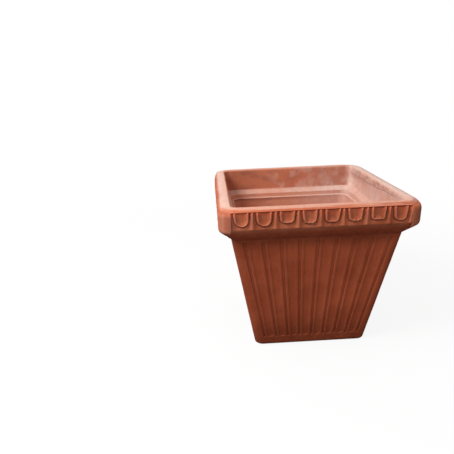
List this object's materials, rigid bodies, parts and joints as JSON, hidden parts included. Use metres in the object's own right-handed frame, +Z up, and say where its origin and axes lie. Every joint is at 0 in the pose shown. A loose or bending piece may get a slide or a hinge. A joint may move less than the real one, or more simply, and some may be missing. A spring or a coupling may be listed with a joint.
{
  "type": "square terracotta planter",
  "caption": "Square tapered clay planter with reeded walls, a heavy overhanging rim with a tongue and dart frieze, an inner ledge and a drain hole.",
  "frame": {"origin": "middle of the underside, on the axis of the drain hole", "axes": "+Z up, -Y out of the front face, +X to the right seen from the front"},
  "size_m": [0.3996, 0.3996, 0.347],
  "materials": {
    "terracotta": "matte"
  },
  "bodies": {
    "root": {"floor": "terracotta", "wall_front": "terracotta", "wall_right": "terracotta", "wall_back": "terracotta", "wall_left": "terracotta", "rim_front": "terracotta", "rim_right": "terracotta", "rim_back": "terracotta", "rim_left": "terracotta"}
  },
  "joints": []
}
